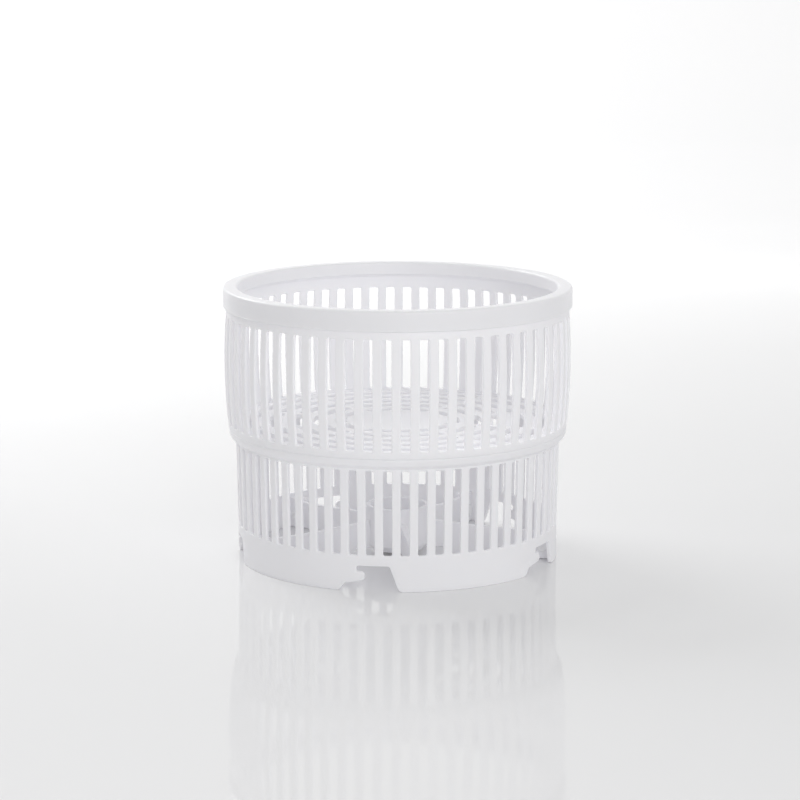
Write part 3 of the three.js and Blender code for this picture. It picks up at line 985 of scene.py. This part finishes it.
# %% Cup and arms
CUP_RADIUS, CUP_WALL = 20.0, 2.5
CUP_BOTTOM, CUP_TOP = 3.0, 32.0
CUP_MOUTH = 14.5
SEAT_BOTTOM, SEAT_TOP = 9.5, 13.5
BUSH_RADIUS = 7.6
ARM_BOTTOM, ARM_TOP_AT_CUP, ARM_TOP_AT_FOOT = 0.8, 23.0, 18.0
ARM_ROOT_BOTTOM, ARM_ROOT_REACH = 5.0, 30.0  # the underside beside the cup is higher
ARM_TIP = FOOT_RADIUS - WALL - 0.6

cup_section = rounded(
    [(CUP_RADIUS - 4, CUP_BOTTOM), (CUP_RADIUS, CUP_BOTTOM + 4), (CUP_RADIUS, CUP_TOP),
     (CUP_RADIUS - CUP_WALL, CUP_TOP), (CUP_RADIUS - CUP_WALL, SEAT_TOP), (BUSH_RADIUS + 0.1, SEAT_TOP),
     (BUSH_RADIUS + 0.1, SEAT_BOTTOM), (CUP_MOUTH, SEAT_BOTTOM), (CUP_MOUTH, CUP_BOTTOM)],
    [1.0, 1.8, 0.9, 0.7, 1.0, 0.3, 0.3, 0.8, 0.4], steps=4, closed=True)
cup_shell = Shell()
turned(cup_shell, cup_section, 96)

arm_root = CUP_RADIUS - CUP_WALL / 2
bow = np.linspace(0, 1, 13)[:, None]
tip_top, root_top = np.array([ARM_TIP, ARM_TOP_AT_FOOT]), np.array([arm_root, ARM_TOP_AT_CUP])
bend_point = np.array([(arm_root + ARM_TIP) / 2, ARM_TOP_AT_FOOT])
top_line = (1 - bow) ** 2 * tip_top + 2 * bow * (1 - bow) * bend_point + bow ** 2 * root_top
arm_corners = [
    (arm_root, ARM_ROOT_BOTTOM), (ARM_ROOT_REACH, ARM_ROOT_BOTTOM),
    (ARM_ROOT_REACH + ARM_ROOT_BOTTOM, ARM_BOTTOM), (ARM_TIP, ARM_BOTTOM), *top_line]
arm_radii = [0, 1.5, 1.5, 2.5, 2.5] + [0] * (len(top_line) - 1)
arm_outline = filled(rounded(arm_corners, arm_radii, steps=5, closed=True), 6.0, closed=True)
arm_hole = ring_line(PIN_PLACE, PIN_HEIGHT, PIN_RADIUS + 0.3, 20, clockwise=True)
arm_shell = Shell()
plate(arm_shell, arm_outline, [arm_hole], ARM_THICK, 0.5, beside(0), spacing=6.0)


def merged(piece, tools):
    """One closed body of a piece and its tools, by an exact boolean union; the tools go."""
    for tool in tools:
        union = piece.modifiers.new("join", "BOOLEAN")
        union.operation = "UNION"
        union.solver = "EXACT"
        union.object = tool
    piece.modifiers.move(0, len(piece.modifiers) - 1)
    graph = bpy.context.evaluated_depsgraph_get()
    weighted = piece.modifiers["even_normals"]
    weighted.show_viewport = False
    graph.update()
    mesh = bpy.data.meshes.new_from_object(piece.evaluated_get(graph))
    weighted.show_viewport = True
    for modifier in [m for m in piece.modifiers if m.type == "BOOLEAN"]:
        piece.modifiers.remove(modifier)
    for tool in tools:
        bpy.data.objects.remove(tool)
    piece.data = mesh
    for face in mesh.polygons:
        face.use_smooth = True
    print(piece.name, "merged:", len(mesh.polygons), "faces")
    return piece


arms = []
for k in range(ARMS):
    turned_arm = Shell()
    turned_arm.take(arm_shell, ARM_PHASE + 360 / ARMS * k)
    arms.append(to_object(turned_arm, f"arm_{k + 1}"))
spider = merged(to_object(cup_shell, "spider"), arms)
dress(spider, cage_white, "cage_plastic", "basket", "pivot_spider")

# %% [markdown]
# ## Pins, bush, washer and circlip
#
# Each arm hangs on a shouldered pin: a domed head, a shank, and a tail that was formed over. In
# the cup's seat turns an acetal bush with a flange below, a thin washer that takes the basket's
# weight, and a steel circlip that keeps it all together. All are turned parts but the circlip,
# a plate bent to a C with two eyes for the pliers.

# %% Pins
PIN_HEAD, PIN_TAIL, HEAD_HIGH = 4.0, 2.6, 1.2


def pin_shell():
    reach = LUG_FACE + 0.3
    section = rounded(
        [(0, -reach - HEAD_HIGH), (PIN_HEAD * 0.8, -reach - HEAD_HIGH), (PIN_HEAD, -reach),
         (PIN_RADIUS, -reach), (PIN_RADIUS, reach), (PIN_TAIL, reach), (PIN_TAIL * 0.85, reach + HEAD_HIGH),
         (0, reach + HEAD_HIGH)],
        [0, 0.7, 0.35, 0.15, 0.15, 0.3, 0.6, 0], steps=4)
    shell = Shell()
    turn, radius = np.meshgrid(np.linspace(0, 2 * math.pi, 41), section[:, 0], indexing="ij")
    side = np.meshgrid(turn[:, 0], section[:, 1], indexing="ij")[1]
    shell.weave(shell.add(np.stack(
        [side, -PIN_PLACE + radius * np.cos(turn), PIN_HEIGHT + radius * np.sin(turn)], -1)))
    return shell


for k in range(ARMS):
    one_pin = Shell()
    one_pin.take(pin_shell(), ARM_PHASE + 360 / ARMS * k)
    dress(to_object(one_pin, f"pin_{k + 1}"), pin_white, "pin_plastic", "basket", f"arm_pin_{k + 1}")

# %% Bush and washer
WASHER_THICK, FLANGE_THICK = 1.2, 2.2
FLANGE_TOP = SEAT_BOTTOM - WASHER_THICK - 0.6
BUSH_BOTTOM = FLANGE_TOP - FLANGE_THICK
BUSH_TOP = BUSH_BOTTOM + 13.0
BUSH_BORE = 4.3
GROOVE_BOTTOM = SEAT_TOP + 0.3
GROOVE_TOP = GROOVE_BOTTOM + 1.5
bush_section = rounded(
    [(12, BUSH_BOTTOM), (12, FLANGE_TOP), (BUSH_RADIUS, FLANGE_TOP), (BUSH_RADIUS, GROOVE_BOTTOM),
     (BUSH_RADIUS - 0.8, GROOVE_BOTTOM), (BUSH_RADIUS - 0.8, GROOVE_TOP), (BUSH_RADIUS, GROOVE_TOP),
     (BUSH_RADIUS, BUSH_TOP), (BUSH_BORE, BUSH_TOP), (BUSH_BORE, BUSH_BOTTOM)],
    [0.4, 0.4, 0.3, 0.15, 0.1, 0.1, 0.15, 0.8, 0.6, 0.6], steps=4, closed=True)
bush_shell = Shell()
turned(bush_shell, bush_section, 72)
dress(to_object(bush_shell, "bush"), acetal, "bush_acetal", "pivot", "pivot_bush")

washer_section = rounded(
    [(11, FLANGE_TOP + 0.3), (11, FLANGE_TOP + 0.3 + WASHER_THICK),
     (BUSH_RADIUS + 0.3, FLANGE_TOP + 0.3 + WASHER_THICK), (BUSH_RADIUS + 0.3, FLANGE_TOP + 0.3)],
    0.25, steps=3, closed=True)
washer_shell = Shell()
turned(washer_shell, washer_section, 72)
dress(to_object(washer_shell, "washer"), acetal, "bush_acetal", "pivot", "thrust_washer")

# %% Circlip
CLIP_OUTSIDE, CLIP_INSIDE, CLIP_THICK = 10.0, BUSH_RADIUS - 0.8 + 0.15, 1.2
CLIP_GAP = math.radians(30)  # half of the opening
clip_bottom = GROOVE_BOTTOM + 0.15
outer_turn = np.linspace(CLIP_GAP, 2 * math.pi - CLIP_GAP, 60)
inner_turn = outer_turn[::-1]
clip_outline = np.concatenate([
    np.stack([CLIP_OUTSIDE * np.cos(outer_turn), CLIP_OUTSIDE * np.sin(outer_turn)], 1),
    np.stack([CLIP_INSIDE * np.cos(inner_turn), CLIP_INSIDE * np.sin(inner_turn)], 1)])
eyes = [ring_line(8.5 * math.cos(CLIP_GAP * s * 1.32), 8.5 * math.sin(CLIP_GAP * s * 1.32), 0.75, 16, True)
        for s in (-1, 1)]
clip_shell = Shell()
plate(clip_shell, clip_outline, eyes, CLIP_THICK, 0.15,
      lambda x, y, level: np.stack([x, y, clip_bottom + CLIP_THICK / 2 + level], -1), spacing=1.2)
dress(to_object(clip_shell, "circlip"), spring_steel, "circlip_steel", "pivot", "bush_circlip")

# %% [markdown]
# ## Floor, backdrop, light and camera
#
# White on white needs a light hand. One glossy pale sheet serves as table and backdrop: it mirrors
# the basket, and bends up so far behind that no edge shows. A softbox in front, a little to the
# right, lights the face of the basket. A second one behind at the left lights the table and the
# inside, and the left side stays darker, which gives the white plastic its shape.

# %% Stage
def sweep_material(colour, roughness, glow):
    """Glossy pale sheet with painted shade that darkens it towards its right, glowing more and more towards
    its back.
    """
    material = bpy.data.materials.new("sweep_white")
    material.use_nodes = True
    tree = material.node_tree
    nodes, links = tree.nodes, tree.links
    shader = nodes["Principled BSDF"]
    where = nodes.new("ShaderNodeTexCoord").outputs["Object"]
    place = nodes.new("ShaderNodeSeparateXYZ")
    links.new(where, place.inputs[0])
    # painted shade: the sheet's colour darkens towards its right, with a faint noise cloud mixed in
    right = spread(nodes, links, place.outputs["X"], -0.5, 0.7)
    cloud = maths(nodes, links, "MULTIPLY", noise(nodes, links, where, 3, 3), 0.12)
    shade = blended(nodes, links, maths(nodes, links, "ADD", right, cloud),
                    (*colour, 1), (*[c * 0.91 for c in colour], 1))
    links.new(shade, shader.inputs["Base Color"])
    back = maths(nodes, links, "MULTIPLY", spread(nodes, links, place.outputs["Y"], 0.0, 3.2), glow)
    light = blended(nodes, links, back, (0, 0, 0, 1), (1, 1, 1, 1))
    links.new(light, shader.inputs["Emission Color"])
    shader.inputs["Emission Strength"].default_value = 1.0
    shader.inputs["Roughness"].default_value = roughness
    shader.inputs["IOR"].default_value = 1.65
    return material


def stage_sheet(name, profile, half_width, material):
    """A sheet that runs along a line in (y, z), in metres."""
    mesh = bpy.data.meshes.new(name)
    corners = [(side * half_width, y, z) for y, z in profile for side in (-1, 1)]
    faces = [(2 * k, 2 * k + 1, 2 * k + 3, 2 * k + 2) for k in range(len(profile) - 1)]
    mesh.from_pydata(corners, [], faces)
    sheet = bpy.data.objects.new(name, mesh)
    bpy.context.scene.collection.objects.link(sheet)
    for face in mesh.polygons:
        face.use_smooth = True
    mesh.materials.append(material)
    return sheet


sweep_white = sweep_material((0.93, 0.93, 0.935), 0.05, 0.37)
BEND_START, BEND_RADIUS = 1.2, 2.0
turns = np.linspace(0, math.pi / 2, 24)
bend = [(BEND_START + BEND_RADIUS * math.sin(a), BEND_RADIUS * (1 - math.cos(a))) for a in turns]
stage_sheet("sweep", [(-3.0, 0), *bend, (BEND_START + BEND_RADIUS, 4.0)], 3.0, sweep_white)

# %% World and lights
world = bpy.data.worlds.new("studio")
bpy.context.scene.world = world
world.use_nodes = True
sky = world.node_tree
background = sky.nodes["Background"]
way = sky.nodes.new("ShaderNodeSeparateXYZ")
sky.links.new(sky.nodes.new("ShaderNodeTexCoord").outputs["Generated"], way.inputs[0])
from_right = maths(sky.nodes, sky.links, "MULTIPLY", way.outputs["X"], 0.11)
from_back = maths(sky.nodes, sky.links, "MULTIPLY", way.outputs["Y"], 0.02)
level = maths(sky.nodes, sky.links, "ADD", 0.54, maths(sky.nodes, sky.links, "ADD", from_right, from_back))
seen = sky.nodes.new("ShaderNodeLightPath").outputs["Is Camera Ray"]
level = maths(sky.nodes, sky.links, "MAXIMUM", level, maths(sky.nodes, sky.links, "MULTIPLY", seen, 0.93))
sky.links.new(level, background.inputs["Strength"])
background.inputs["Color"].default_value = (1, 1, 1, 1)


def soft_light(name, place, target, size, power):
    data = bpy.data.lights.new(name, "AREA")
    data.shape = "RECTANGLE"
    data.size, data.size_y = size
    data.energy = power
    lamp = bpy.data.objects.new(name, data)
    bpy.context.scene.collection.objects.link(lamp)
    lamp.location = place
    lamp.visible_camera = False
    lamp.rotation_mode = "QUATERNION"
    lamp.rotation_quaternion = (Vector(target) - Vector(place)).to_track_quat("-Z", "Y")
    return lamp


soft_light("softbox_front", (0.7, -2.2, 0.85), (0, 0, 0.08), (1.2, 1.2), 14)
soft_light("softbox_back", (-1.4, 1.5, 1.6), (0, 0, 0.1), (1.6, 1.2), 25)

# %% Camera
CAMERA_AWAY, CAMERA_HIGH, CAMERA_DOWN = 1.661, 0.4174, 10.8535
camera_data = bpy.data.cameras.new("camera")
camera_data.lens = 120.1
camera_data.sensor_width = 36
camera_data.shift_x = 0.0031
camera = bpy.data.objects.new("camera", camera_data)
bpy.context.scene.collection.objects.link(camera)
camera.location = (0, -CAMERA_AWAY, CAMERA_HIGH)
camera.rotation_euler = (math.radians(90 - CAMERA_DOWN), 0, 0)
camera_data.clip_end = 50
bpy.context.scene.camera = camera
bpy.context.scene.view_settings.view_transform = "Standard"
bpy.context.scene.view_settings.look = "None"
